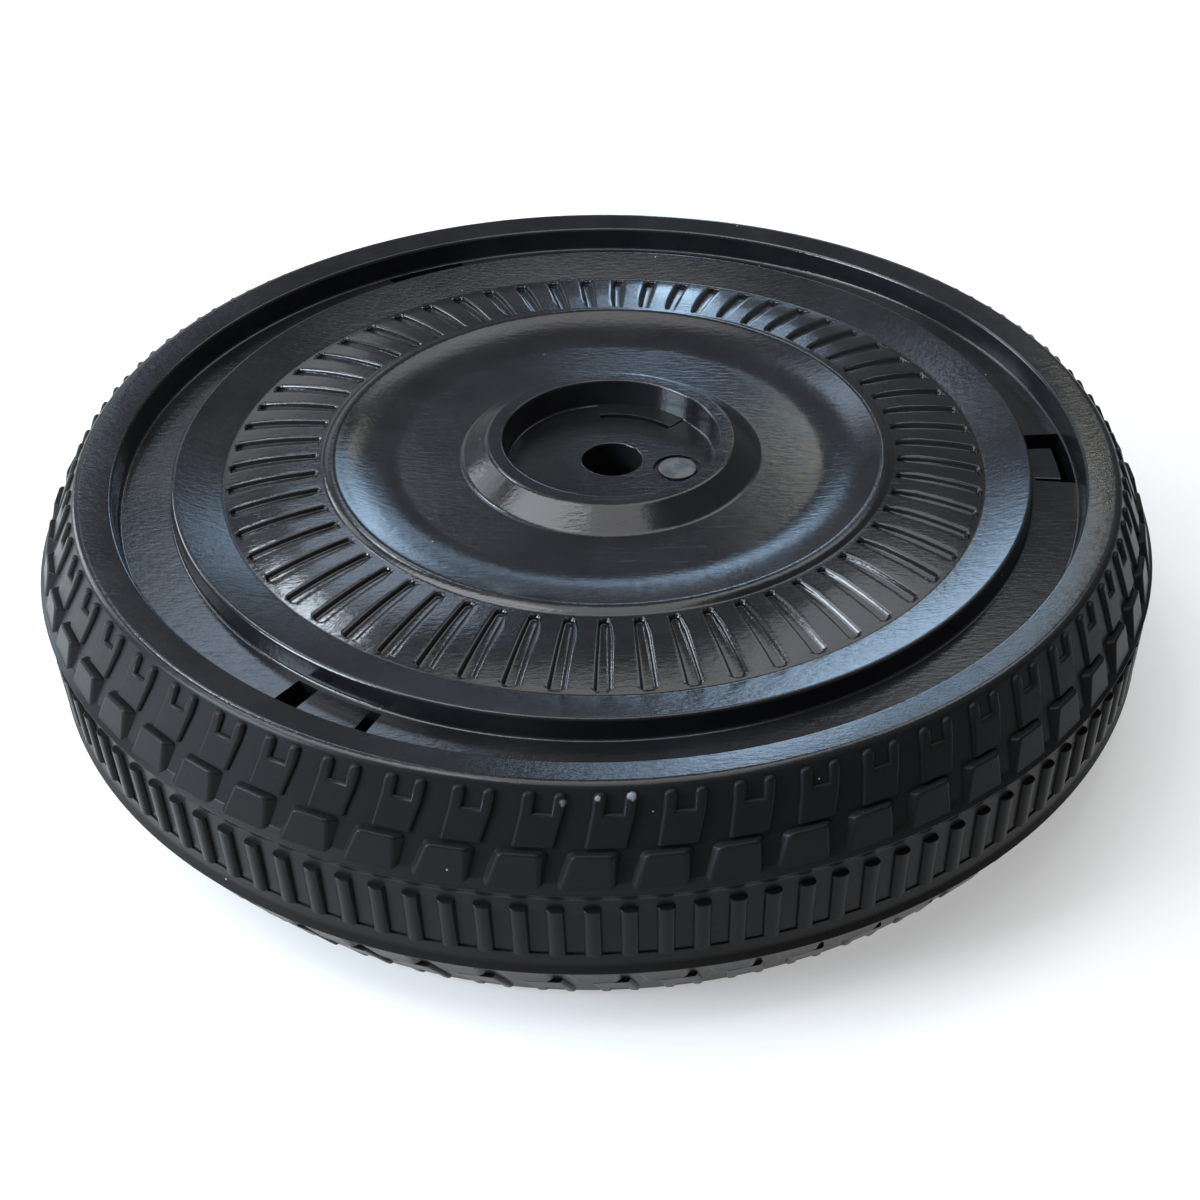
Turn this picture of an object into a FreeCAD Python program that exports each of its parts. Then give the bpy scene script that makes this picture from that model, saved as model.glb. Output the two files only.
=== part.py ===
"""Wheel of a battery ride-on toy car, in black moulded plastic, lying with its outer face up.

The wheel is two injection mouldings screwed together from the rear. The front shell carries the face, which
imitates a ventilated brake disc, the hub tube, the front shoulder and the ribbed middle of the tread. The
rear shell carries the rear shoulder and a plain recessed rear face, and its spigot plugs into the front
shell. The tread and the slotted band are made of flats, one for each lug or slot, and their radii are
measured to the middle of a flat.

Frame: millimetres, +Z along the axle and out of the face, origin on the axle in the middle of the width.
Angles are in degrees about +Z. Angle 0 is the -Y side and angle 90 the +X side.
"""
import FreeCAD, Part
import math
import os

Vector = FreeCAD.Vector
AXIS = Vector(0, 0, 1)
ORIGIN = Vector(0, 0, 0)

# Overall
wheel_width = 50.0
tread_radius = 113.2
lip_outer_radius = 104.0
lip_inner_radius = 97.8
lip_land_radius = 102.2
lip_rise = 1.0
wall = 3.0

# Axle and hub
axle_diameter = 12.0
axle_clearance = 0.4
hub_tube_radius = 10.0
hub_fit_clearance = 0.15
rear_boss_radius = 17.0
rear_boss_set_back = 3.0
rear_boss_end_wall = 2.4

# Hub well and its collar
well_depth = 6.4
well_floor_radius = 20.7
well_mouth_radius = 23.2
collar_top_radius = 25.6
collar_base_radius = 30.7
collar_drop = 0.5
catch_inner_radius = 14.8
catch_slot_width = 2.6
catch_height = 1.5
catch_sweep = 44.0
catch_angles = (-46.0, 134.0)

# Brake disc face, heights given as depths below the inner edge of the lip
dish_radius = 44.5
dish_depth = 4.2
rim_inner_radius = 51.4
rim_inner_depth = 1.1
rim_crest_radius = 54.2
rim_crest_depth = 0.4
rim_outer_radius = 57.2
rim_outer_depth = 0.8
band_inner_radius = 58.2
band_inner_depth = 1.9
band_crown_radius = 68.5
band_crown_depth = 2.5
band_outer_radius = 77.6
band_outer_depth = 4.8
band_edge_gap = 0.4
disc_radius = 86.2
disc_depth = 0.6
disc_wall_draft = 0.5
slot_phase = 4.2
slot_end_margin = 1.2
slot_inner_width = 2.4
slot_outer_width = 2.9
slot_inner_floor_depth = 3.0
slot_outer_floor_depth = 5.5

# Channel between disc and lip, with the cover's clip windows
channel_depth = 5.4
lip_wall_draft = 0.8
lip_bevel = 0.6
window_count = 3
window_phase = -32.2
window_sweep = 11.4
window_inner_strip = 1.6
window_outer_strip = 0.4
tongue_sweep = 7.4
tongue_length = 6.0
tongue_step = 1.4
tongue_thickness = 2.4
tongue_root = 1.5

# Tread
pitch_count = 60
tread_flat_phase = 4.6
rib_height = 1.1
rib_half_length = 5.4
rib_base_width = 3.2
rib_crest_width = 1.7
rib_count = 120
rib_phase = 3.55
ridge_height = 1.2
ridge_half_width = 9.4
ridge_flank_rise = 1.4
ridge_flank_depth = 1.8
ridge_land_drop = 1.8
seam_step = 0.5
lug_phase = 5.05
lug_lip_gap = 0.6
lug_length = 8.0
lug_height = 1.5
lug_width = 6.9
lug_top_shift = 1.2
lug_foot_shift = -0.6
prong_length = 3.1
prong_width = 2.05
prong_lean = 0.25
block_phase = 3.78
block_gap = 0.3
block_height = 1.3
block_top_width = 6.7
block_top_shift = 0.15
block_foot_width = 9.5
block_foot_shift = -0.35
block_foot_height = 0.5
block_foot_gap = 0.3
tread_root = 0.5
sewing_tolerance = 0.001

# Joint of the two shells
spigot_length = 6.2
spigot_clearance = 0.15
rear_recess_depth = 9.0
rear_rib_count = 6
rear_rib_phase = 27.6
rear_rib_width = 3.0
rear_rib_height = 4.5
rib_overlap = 0.6
screw_count = 3
screw_phase = -2.4
screw_position_radius = 91.6
screw_radius = 1.6
screw_length = 17.0
screw_head_radius = 3.8
screw_head_height = 2.4
screw_pilot_clearance = 0.05
screw_passage_clearance = 0.5
screw_boss_width = 8.4
pilot_end_gap = 1.5
boss_root = 1.0

# Heights and radii that follow from the sizes above
lip_z = wheel_width / 2
bore_radius = (axle_diameter + axle_clearance) / 2
face_z = lip_z - lip_rise
panel_radius = tread_radius - ridge_height
rib_radius = panel_radius + rib_height
seam_z = -rib_half_length
well_floor_z = face_z - well_depth
channel_floor_z = face_z - channel_depth
collar_top_z = face_z - collar_drop
dish_z = face_z - dish_depth
face_underside_z = well_floor_z - wall
blank_radius = tread_radius + wall
flank_foot_radius = tread_radius - ridge_flank_depth
flank_foot_z = ridge_half_width + ridge_flank_rise
shoulder_slope = (flank_foot_radius - lip_outer_radius) / (lip_z - flank_foot_z)
barrel_radius = lip_outer_radius + shoulder_slope * (lip_z - face_underside_z) - wall
spigot_radius = barrel_radius - spigot_clearance
window_inner_radius = disc_radius + disc_wall_draft + window_inner_strip
window_outer_radius = lip_inner_radius - lip_wall_draft - window_outer_strip
rear_face_z = -lip_z + rear_recess_depth
rear_inner_z = rear_face_z + wall
rear_boss_z = -lip_z + rear_boss_set_back
hub_socket_z = rear_boss_z + rear_boss_end_wall
lug_top_z = lip_z - lug_lip_gap
lug_foot_z = lug_top_z - lug_length
block_top_z = lug_foot_z - block_gap
block_foot_z = flank_foot_z + block_foot_gap
screw_angles = [screw_phase + 360.0 * k / screw_count for k in range(screw_count)]


def polar(radius, angle, z):
    """Point at a radius and an angle about the axle."""
    turn = math.radians(angle - 90)
    return Vector(radius * math.cos(turn), radius * math.sin(turn), z)


def local(radius, offset, z, angle):
    """Point at a radius along the direction of an angle, moved sideways by an offset."""
    turn = math.radians(angle - 90)
    x = radius * math.cos(turn) - offset * math.sin(turn)
    y = radius * math.sin(turn) + offset * math.cos(turn)
    return Vector(x, y, z)


def turned(outline, sweep=360.0, start=0.0):
    """Solid of revolution about the axle from a closed outline of (radius, z) corners."""
    points = [polar(radius, start, z) for radius, z in outline]
    return Part.Face(Part.makePolygon(points + points[:1])).revolve(ORIGIN, AXIS, sweep)


def ring_sector(inner, outer, low, high, middle_angle, sweep):
    """Block of a ring, between two radii and two heights, centred on an angle."""
    outline = [(inner, low), (outer, low), (outer, high), (inner, high)]
    return turned(outline, sweep, middle_angle - sweep / 2)


def flat_sided(rings, phase):
    """Solid with flats all round, through a stack of (radius to the middle of a flat, z)."""
    stretch = 1 / math.cos(math.pi / pitch_count)
    pitch = 360.0 / pitch_count
    loops = []
    for radius, z in rings:
        loops.append([polar(radius * stretch, phase + (k + 0.5) * pitch, z) for k in range(pitch_count)])
    outlines = [loops[0], loops[-1]]
    for below, above in zip(loops, loops[1:]):
        for k in range(pitch_count):
            outlines.append([below[k - 1], below[k], above[k], above[k - 1]])
    faces = [Part.Face(Part.makePolygon(points + points[:1])) for points in outlines]
    shell = Part.makeShell(faces)
    shell.sewShape()
    solid = Part.makeSolid(shell)
    solid.fix(sewing_tolerance, sewing_tolerance, sewing_tolerance)
    return solid


def cylinder(radius, low, high, angle=0.0, position_radius=0.0):
    """Upright cylinder between two heights."""
    return Part.makeCylinder(radius, high - low, polar(position_radius, angle, low), AXIS)


def square_post(width, low, high, angle, position_radius):
    """Upright square post between two heights."""
    corners = ((-1, -1), (1, -1), (1, 1), (-1, 1))
    half = width / 2
    points = [local(position_radius + a * half, b * half, low, angle) for a, b in corners]
    return Part.Face(Part.makePolygon(points + points[:1])).extrude(AXIS * (high - low))


def pattern(solid, count):
    """Copies of a solid, evenly spaced about the axle."""
    copies = []
    for i in range(count):
        copy = solid.copy()
        copy.rotate(ORIGIN, AXIS, 360.0 * i / count)
        copies.append(copy)
    return copies


def mirrored(solids):
    """The same solids on the other side of the wheel's middle plane."""
    return [solid.mirror(ORIGIN, AXIS) for solid in solids]


def shoulder_radius(z):
    """Radius of the bare shoulder at a height, on the cone from the lip to the foot of the ridge."""
    return lip_outer_radius + shoulder_slope * (lip_z - z)


def raised_on_shoulder(outline, angle, top_z, top_radius, foot_z, foot_radius):
    """Flat-topped pad on the shoulder. The outline holds (sideways offset, z), and its top face is plane."""
    slope = (foot_radius - top_radius) / (top_z - foot_z)
    points = [local(top_radius + slope * (top_z - z), offset, z, angle) for offset, z in outline]
    face = Part.Face(Part.makePolygon(points + points[:1]))
    outward = local(1, 0, slope, angle)
    outward.normalize()
    depth = max(top_radius - shoulder_radius(top_z), foot_radius - shoulder_radius(foot_z)) + tread_root
    return face.extrude(outward * -depth)


def shoulder_lug(notched):
    """Leaning lug under the lip that fades into the shoulder. A notch leaves two prongs at its top."""
    half_width = lug_width / 2
    half_notch = half_width - prong_width
    notch_shift = lug_top_shift - prong_lean
    notch_z = lug_top_z - prong_length
    notch = [
        (lug_top_shift - half_notch, lug_top_z),
        (notch_shift - half_notch, notch_z),
        (notch_shift + half_notch, notch_z),
        (lug_top_shift + half_notch, lug_top_z),
    ]
    outline = [(lug_top_shift - half_width, lug_top_z)]
    if notched:
        outline += notch
    outline += [
        (lug_top_shift + half_width, lug_top_z),
        (lug_foot_shift + half_width, lug_foot_z),
        (lug_foot_shift - half_width, lug_foot_z),
    ]
    return raised_on_shoulder(outline, lug_phase, lug_top_z, shoulder_radius(lug_top_z) + lug_height,
                              lug_foot_z, shoulder_radius(lug_foot_z))


def shoulder_block():
    """Four-sided block between the lug and the ridge, wider at its foot."""
    outline = [
        (block_top_shift - block_top_width / 2, block_top_z),
        (block_top_shift + block_top_width / 2, block_top_z),
        (block_foot_shift + block_foot_width / 2, block_foot_z),
        (block_foot_shift - block_foot_width / 2, block_foot_z),
    ]
    return raised_on_shoulder(outline, block_phase, block_top_z, shoulder_radius(block_top_z) + block_height,
                              block_foot_z, shoulder_radius(block_foot_z) + block_foot_height)


def tread_rib():
    """Rib along the axle on the middle panel, with sloped sides and flat ends."""
    section = [
        (panel_radius - tread_root, rib_base_width / 2),
        (panel_radius, rib_base_width / 2),
        (rib_radius, rib_crest_width / 2),
        (rib_radius, -rib_crest_width / 2),
        (panel_radius, -rib_base_width / 2),
        (panel_radius - tread_root, -rib_base_width / 2),
    ]
    points = [local(radius, offset, seam_z, rib_phase) for radius, offset in section]
    face = Part.Face(Part.makePolygon(points + points[:1]))
    return face.extrude(AXIS * (2 * rib_half_length))


def slotted_band():
    """Crowned ring of flats that stands in the disc, with a radial slot in the middle of each flat."""
    inner_z = face_z - band_inner_depth
    outer_z = face_z - band_outer_depth
    foot_radius = band_outer_radius - band_edge_gap
    rings = [
        (foot_radius, outer_z - tread_root),
        (foot_radius, outer_z),
        (band_crown_radius, face_z - band_crown_depth),
        (band_inner_radius + band_edge_gap, inner_z),
    ]
    ring = flat_sided(rings, slot_phase).cut(cylinder(rim_outer_radius, outer_z - wall, lip_z))
    half_inner = slot_inner_width / 2
    half_outer = slot_outer_width / 2
    slot = Part.makeWedge(-half_inner, band_inner_radius + slot_end_margin, face_z - slot_inner_floor_depth,
                          face_z - slot_outer_floor_depth, -half_outer,
                          half_inner, band_outer_radius - slot_end_margin, lip_z, lip_z, half_outer)
    slot.rotate(ORIGIN, AXIS, slot_phase + 180)
    return ring, pattern(slot, pitch_count)


def tread_outline():
    """Outside of the tread from the middle to the lip, as (radius to the middle of a flat, z)."""
    bevel_foot_z = lip_z - lip_bevel
    return [
        (panel_radius, 0.0),
        (panel_radius, ridge_half_width - ridge_land_drop),
        (tread_radius, ridge_half_width),
        (flank_foot_radius, flank_foot_z),
        (shoulder_radius(bevel_foot_z), bevel_foot_z),
        (lip_outer_radius - lip_bevel, lip_z),
    ]


def front_section():
    """Outline of the front shell, from the hub tube's rear end round the inside, then back over the face."""
    inside = [
        (bore_radius, hub_socket_z),
        (hub_tube_radius, hub_socket_z),
        (hub_tube_radius, face_underside_z),
        (barrel_radius, face_underside_z),
        (barrel_radius, seam_z),
    ]
    tread_blank = [
        (blank_radius, seam_z),
        (blank_radius, lip_z),
    ]
    channel = [
        (lip_land_radius, lip_z),
        (lip_inner_radius, face_z),
        (lip_inner_radius - lip_wall_draft, channel_floor_z),
        (disc_radius + disc_wall_draft, channel_floor_z),
    ]
    disc = [
        (disc_radius, face_z - disc_depth),
        (band_outer_radius, face_z - band_outer_depth),
        (band_inner_radius, face_z - band_outer_depth),
        (band_inner_radius, face_z - band_inner_depth),
        (rim_outer_radius, face_z - rim_outer_depth),
        (rim_crest_radius, face_z - rim_crest_depth),
        (rim_inner_radius, face_z - rim_inner_depth),
        (dish_radius, dish_z),
    ]
    hub = [
        (collar_base_radius, dish_z),
        (collar_top_radius, collar_top_z),
        (well_mouth_radius, collar_top_z),
        (well_floor_radius, well_floor_z),
        (bore_radius, well_floor_z),
    ]
    return inside + tread_blank + channel + disc + hub


def front_shell():
    """Face, hub tube, front shoulder and ribbed tread, moulded in one."""
    outside = tread_outline()
    below_hub = (panel_radius, -lip_z)
    body = turned(front_section()).common(flat_sided([below_hub] + outside[1:], tread_flat_phase))
    band, slots = slotted_band()
    bosses = []
    pilots = []
    for angle in screw_angles:
        bosses.append(square_post(screw_boss_width, rear_inner_z, face_underside_z + boss_root,
                                  angle, screw_position_radius))
        pilots.append(cylinder(screw_radius + screw_pilot_clearance, rear_inner_z - wall,
                               rear_face_z + screw_length + pilot_end_gap, angle, screw_position_radius))
    catches = []
    catch_slots = []
    for start in catch_angles:
        middle = start + catch_sweep / 2
        slot_outer = catch_inner_radius + catch_slot_width
        catches.append(ring_sector(slot_outer, well_floor_radius + catch_height / 2, well_floor_z - wall / 2,
                                   well_floor_z + catch_height, middle, catch_sweep))
        catch_slots.append(ring_sector(catch_inner_radius, slot_outer, well_floor_z - 2 * wall,
                                       well_floor_z + wall, middle, catch_sweep))
    windows = []
    tongues = []
    for k in range(window_count):
        middle = window_phase + 360.0 * k / window_count
        windows.append(ring_sector(window_inner_radius, window_outer_radius, channel_floor_z - 2 * wall,
                                   channel_floor_z + wall / 2, middle, window_sweep))
        tongue_top = channel_floor_z - tongue_step
        tongues.append(ring_sector(window_inner_radius - tongue_root, window_inner_radius + tongue_length,
                                   tongue_top - tongue_thickness, tongue_top, middle, tongue_sweep))
    body = body.cut(windows + catch_slots).fuse(band).cut(slots)
    tread = pattern(shoulder_lug(True), pitch_count) + pattern(shoulder_block(), pitch_count)
    tread += pattern(tread_rib(), rib_count)
    body = body.fuse(tread + bosses + catches + tongues)
    return body.cut(pilots).removeSplitter()


def rear_section():
    """Outline of the rear shell, from the spigot over the rear shoulder and the recessed rear face."""
    spigot_inner_radius = spigot_radius - wall
    outside = [
        (spigot_inner_radius, seam_z + spigot_length),
        (spigot_radius, seam_z + spigot_length),
        (spigot_radius, seam_z),
        (blank_radius, seam_z),
        (blank_radius, -lip_z),
        (lip_inner_radius, -lip_z),
        (lip_inner_radius, rear_face_z),
    ]
    hub = [
        (rear_boss_radius, rear_face_z),
        (rear_boss_radius, rear_boss_z),
        (bore_radius, rear_boss_z),
        (bore_radius, hub_socket_z),
        (hub_tube_radius + hub_fit_clearance, hub_socket_z),
        (hub_tube_radius + hub_fit_clearance, rear_inner_z),
    ]
    inside = [
        (spigot_inner_radius, rear_inner_z),
    ]
    return outside + hub + inside


def rear_shell():
    """Rear shoulder, recessed rear face with stiffening ribs, and the socket for the hub tube."""
    above_seam = (panel_radius + seam_step, seam_z + spigot_length + tread_root)
    at_seam = (panel_radius + seam_step, seam_z)
    outside = [(radius, -z) for radius, z in tread_outline()[2:]]
    body = turned(rear_section()).common(flat_sided([above_seam, at_seam] + outside, tread_flat_phase))
    inner = rear_boss_radius - rib_overlap
    outer = lip_inner_radius + rib_overlap
    ribs = []
    for k in range(rear_rib_count):
        angle = rear_rib_phase + 360.0 * k / rear_rib_count
        points = []
        for radius, side in ((inner, -1), (outer, -1), (outer, 1), (inner, 1)):
            points.append(local(radius, side * rear_rib_width / 2, rear_face_z - rear_rib_height, angle))
        face = Part.Face(Part.makePolygon(points + points[:1]))
        ribs.append(face.extrude(AXIS * (rear_rib_height + rib_overlap)))
    passages = []
    for angle in screw_angles:
        passages.append(cylinder(screw_radius + screw_passage_clearance, rear_face_z - wall,
                                 rear_inner_z + wall / 2, angle, screw_position_radius))
    tread = mirrored(pattern(shoulder_lug(False), pitch_count) + pattern(shoulder_block(), pitch_count))
    return body.fuse(tread + ribs).cut(passages).removeSplitter()


def shell_screws():
    """Pan-head screws through the rear shell into the front shell's bosses."""
    screws = []
    for angle in screw_angles:
        shank = cylinder(screw_radius, rear_face_z, rear_face_z + screw_length, angle, screw_position_radius)
        head = cylinder(screw_head_radius, rear_face_z - screw_head_height, rear_face_z,
                        angle, screw_position_radius)
        screws.append(shank.fuse(head).removeSplitter())
    return Part.makeCompound(screws)


os.makedirs("parts", exist_ok=True)
for name, shape in (("front_shell", front_shell()), ("rear_shell", rear_shell()),
                    ("shell_screws", shell_screws())):
    shape.exportStep("parts/" + name + ".step")
    print(name, "solids", len(shape.Solids), "faces", len(shape.Faces), "volume %.0f" % shape.Volume)
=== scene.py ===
# %% [markdown]
# The wheel of a battery ride-on toy car, moulded in black plastic, lying with its outer face up.
# The CAD solids give its true sizes. Here each moulding is modelled again with the rounded edges that a
# mould leaves, dressed in worn satin plastic, and lit softly on a white floor.

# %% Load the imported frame
import math

import bmesh
import bpy
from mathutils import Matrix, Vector


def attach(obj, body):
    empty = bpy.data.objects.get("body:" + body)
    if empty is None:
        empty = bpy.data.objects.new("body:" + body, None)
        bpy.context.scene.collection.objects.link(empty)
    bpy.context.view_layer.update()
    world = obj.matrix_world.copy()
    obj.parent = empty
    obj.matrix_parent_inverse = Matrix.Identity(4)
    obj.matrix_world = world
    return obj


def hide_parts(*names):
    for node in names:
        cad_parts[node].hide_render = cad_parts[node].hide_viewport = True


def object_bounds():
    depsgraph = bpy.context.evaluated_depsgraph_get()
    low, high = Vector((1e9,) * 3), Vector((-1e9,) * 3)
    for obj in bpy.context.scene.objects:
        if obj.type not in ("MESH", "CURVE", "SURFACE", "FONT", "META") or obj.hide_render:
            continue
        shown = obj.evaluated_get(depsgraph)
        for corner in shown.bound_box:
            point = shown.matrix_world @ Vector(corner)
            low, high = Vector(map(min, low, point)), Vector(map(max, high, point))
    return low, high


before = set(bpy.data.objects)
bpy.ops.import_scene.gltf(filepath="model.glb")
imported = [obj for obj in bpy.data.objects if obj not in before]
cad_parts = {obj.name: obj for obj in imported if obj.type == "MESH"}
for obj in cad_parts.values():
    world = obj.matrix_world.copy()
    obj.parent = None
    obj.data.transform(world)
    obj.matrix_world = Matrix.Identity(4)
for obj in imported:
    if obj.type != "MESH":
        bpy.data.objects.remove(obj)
cad_low, cad_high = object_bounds()
bpy.ops.object.select_all(action="DESELECT")
print("nodes", sorted(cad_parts), "box", [round(v, 4) for v in cad_high - cad_low])

# %% [markdown]
# The camera stands in front of the wheel and looks down at it by about 38 degrees. It is only about 35
# centimetres from the axle, so the near lugs look much larger than the far ones. The picture isn't centred
# on the lens axis, as after a crop. A turned camera would draw the circles in another perspective, so the
# lens is shifted sideways instead.

# %% Camera
mm = 0.001
camera_place = (0.0, -283.23 * mm, 200.64 * mm)
camera_turn = (math.radians(52.15), math.radians(-2.34), math.radians(-5.17))
lens_length = 48.0
sensor_width = 36.0
crop_shift = -0.1417
nearest_seen = 10 * mm
bpy.ops.object.camera_add(location=camera_place, rotation=camera_turn)
camera = bpy.context.object
camera.data.lens = lens_length
camera.data.sensor_width = sensor_width
camera.data.shift_x = crop_shift
camera.data.clip_start = nearest_seen
bpy.context.scene.camera = camera
print("camera lens", lens_length, "shift", crop_shift)

# %% [markdown]
# Every place on a wheel is easiest to give as a radius, an angle round the axle and a height. Angle 0 is
# the side towards the camera and angle 90 the right side, as in the CAD source. Sizes are in millimetres.

# %% Places on the wheel
lip_z = round(cad_high.z / mm, 3)
tread_radius = 113.2
pitch_count = 60
pitch_angle = 360.0 / pitch_count


def place(radius, angle, z, sideways=0.0):
    """Point at a radius, an angle and a height in millimetres, moved sideways along the rim."""
    turn = math.radians(angle)
    x = radius * math.sin(turn) + sideways * math.cos(turn)
    y = -radius * math.cos(turn) + sideways * math.sin(turn)
    return Vector((x, y, z)) * mm


def radius_of(point):
    """Distance from the axle in millimetres."""
    return math.hypot(point.x, point.y) / mm


def angle_of(point):
    """Angle round the axle in degrees."""
    return math.degrees(math.atan2(point.x, -point.y))


print("lip at z", lip_z, "tread radius", tread_radius, "one step is", pitch_angle, "degrees")

# %% [markdown]
# A turned shape starts as a line of corners, drawn as by hand: one vertex, extruded from corner to corner.
# A list of vertices would do as well, but a drawn line is already in edit mode, where each corner is
# rounded with a vertex bevel, as the mould maker rounds the edges of the cavity.

# %% Draw a line of corners
same_place = 0.002 * mm
corner_steps = 4


def start_line(name, point):
    """New mesh of one vertex, left in edit mode with that vertex selected."""
    bpy.ops.object.select_all(action="DESELECT")
    bpy.ops.mesh.primitive_plane_add(size=mm)
    piece = bpy.context.object
    piece.name = piece.data.name = name
    bpy.ops.object.mode_set(mode="EDIT")
    bpy.ops.mesh.select_mode(type="VERT")
    bpy.ops.mesh.select_all(action="SELECT")
    bpy.ops.mesh.merge(type="CENTER")
    bpy.ops.transform.translate(value=point)
    return piece


def pick(piece, kind, wanted):
    """Selects the vertices, edges or faces that pass a test, and says how many there are."""
    bpy.ops.mesh.select_mode(type=kind)
    bpy.ops.mesh.select_all(action="DESELECT")
    mesh = bmesh.from_edit_mesh(piece.data)
    mesh.normal_update()
    parts = {"VERT": mesh.verts, "EDGE": mesh.edges, "FACE": mesh.faces}[kind]
    found = [part for part in parts if wanted(part)]
    for part in found:
        part.select_set(True)
    mesh.select_flush_mode()
    bmesh.update_edit_mesh(piece.data)
    return len(found)


def near(a, b):
    """True for two points in the same place."""
    return (a - b).length < same_place


def pull(move):
    """Extrudes what is selected, and moves the new end."""
    bpy.ops.mesh.extrude_region_move(TRANSFORM_OT_translate={"value": move})


def draw(piece, points):
    """Extrudes the selected vertex along the points, and joins the last one to the first."""
    for a, b in zip(points, points[1:]):
        pull(b - a)
    pick(piece, "VERT", lambda v: near(v.co, points[0]) or near(v.co, points[-1]))
    bpy.ops.mesh.edge_face_add()


def round_corners(piece, corners):
    """Rounds each (point, reach) of a line with a vertex bevel."""
    for point, reach in corners:
        if reach:
            pick(piece, "VERT", lambda v: near(v.co, point))
            bpy.ops.mesh.bevel(offset=reach * mm, offset_type="OFFSET", segments=corner_steps,
                               affect="VERTICES")


print("points within", round(same_place / mm, 3), "mm count as one")

# %% [markdown]
# The front moulding is the same all round in steps of 6 degrees, one step for each slot of the imitation
# brake disc. So only one step is modelled: its outline is spun through 6 degrees in a few columns, and two
# of the columns lie on the sides of the slot. Spinning the whole wheel and cutting 60 slots out of it would
# leave ragged edges that can't be rounded cleanly.

# %% Outline of the front moulding
slot_half_angle = 1.0
slot_flank_angle = 1.85
half_pitch = pitch_angle / 2
slot_columns = (-half_pitch, -slot_flank_angle, -slot_half_angle,
                slot_half_angle, slot_flank_angle, half_pitch)
slot_inner_radius = 59.4
slot_outer_radius = 76.4
seam_z = -5.4
face_underside_z = 14.6
bore_radius = 6.2
hub_tube_radius = 10.0
hub_end_z = -19.6
well_floor_z = 17.6
collar_z = 23.5
dish_z = 19.8
channel_floor_z = 18.6
lip_corner_rise = 0.3
lip_edge_radius = 104.15
lip_edge_z = lip_z + lip_corner_rise
shoulder_foot_radius = 111.4
shoulder_foot_z = 10.8
panel_radius = 112.0
barrel_radius = 106.4

# Each corner is a radius, a height and the reach of its rounding.
front_outline = [
    # Bore, and floor of the hub well
    (bore_radius, hub_end_z, 0.0), (bore_radius, well_floor_z, 0.35), (21.7, well_floor_z, 0.4),
    # Collar round the well, and the dish outside it
    (22.3, collar_z, 0.45), (25.6, collar_z, 0.45), (30.7, dish_z, 0.6), (49.0, dish_z, 6.0),
    # Edge of the disc, and its slotted band
    (56.7, 23.3, 1.4), (58.3, 22.1, 0.3), (slot_inner_radius, 22.03, 0.0),
    (70.0, 21.6, 6.0), (slot_outer_radius, 20.211, 0.0), (77.6, 19.95, 0.3),
    # Ring outside the band, and the channel
    (86.75, 23.15, 0.8), (87.2, channel_floor_z, 0.5), (97.0, channel_floor_z, 0.6),
    # Lip and shoulder
    (97.55, 23.85, 0.55), (lip_edge_radius, lip_edge_z, 1.2),
    (shoulder_foot_radius, shoulder_foot_z, 0.2),
    # Ridge, and the panel down to the seam
    (tread_radius, 9.6, 0.16), (panel_radius, 7.6, 0.5), (panel_radius, seam_z, 0.15),
    # Inside of the barrel, underside of the face, and the hub tube
    (barrel_radius, seam_z, 0.0), (barrel_radius, face_underside_z, 0.0),
    (hub_tube_radius, face_underside_z, 0.0), (hub_tube_radius, hub_end_z, 0.2),
]


def turned_outline(name, outline, angle):
    """Closed and rounded line of an outline at an angle round the axle, left in edit mode."""
    points = [place(radius, angle, z) for radius, z, reach in outline]
    piece = start_line(name, points[0])
    draw(piece, points)
    round_corners(piece, [(point, reach) for point, (radius, z, reach) in zip(points, outline)])
    bpy.ops.mesh.select_all(action="SELECT")
    return piece


front = turned_outline("front_moulding", front_outline, slot_columns[0])
print("outline of", len(bmesh.from_edit_mesh(front.data).verts), "points")

# %% Spin one step of the front moulding
axle = {"center": (0, 0, 0), "axis": (0, 0, -1)}


def face_outwards():
    """Selects the whole mesh and turns its faces outwards."""
    bpy.ops.mesh.select_all(action="SELECT")
    bpy.ops.mesh.normals_make_consistent(inside=False)


for a, b in zip(slot_columns, slot_columns[1:]):
    bpy.ops.mesh.spin(steps=1, angle=math.radians(b - a), **axle)
face_outwards()
print("one step has", len(bmesh.from_edit_mesh(front.data).faces), "faces")

# %% [markdown]
# The slot is pressed down into the band and its ends are rounded. Its right wall leans, so the floor is
# narrowed towards the left. A boolean could cut it, but faces that are pushed down keep clean edges for the
# bevels.

# %% Slot of the imitation brake disc
slot_depth = 1.0
slot_end_round = 0.85
slot_end_steps = 3
slot_floor_share = 0.8
slot_floor_centre = -1.2
slot_margin = 0.05
slot_end_margin = 0.02
slot_angle_margin = 0.02
above_underside_z = 15.0
upward = 0.5


def round_edges(reach, steps):
    """Rounds the selected edges."""
    bpy.ops.mesh.bevel(offset=reach * mm, offset_type="OFFSET", segments=steps, affect="EDGES")


def in_slot(point):
    """True inside the slot's outline, and a little beyond."""
    inside = slot_inner_radius - slot_margin < radius_of(point) < slot_outer_radius + slot_margin
    between = abs(angle_of(point)) < slot_half_angle + slot_angle_margin
    return inside and between and point.z > above_underside_z * mm


def slot_floor(face):
    """Upward face inside the slot's outline."""
    return face.normal.z > upward and in_slot(face.calc_center_median())


def slot_corner(edge):
    """Upright edge at one of the four corners of the slot."""
    low, high = sorted((v.co for v in edge.verts), key=lambda point: point.z)
    if high.z - low.z <= slot_depth * mm / 2 or not near(Vector((low.x, low.y, high.z)), high):
        return False
    ends = [abs(radius_of(low) - end) for end in (slot_inner_radius, slot_outer_radius)]
    return min(ends) < slot_end_margin and in_slot(low)


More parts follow.
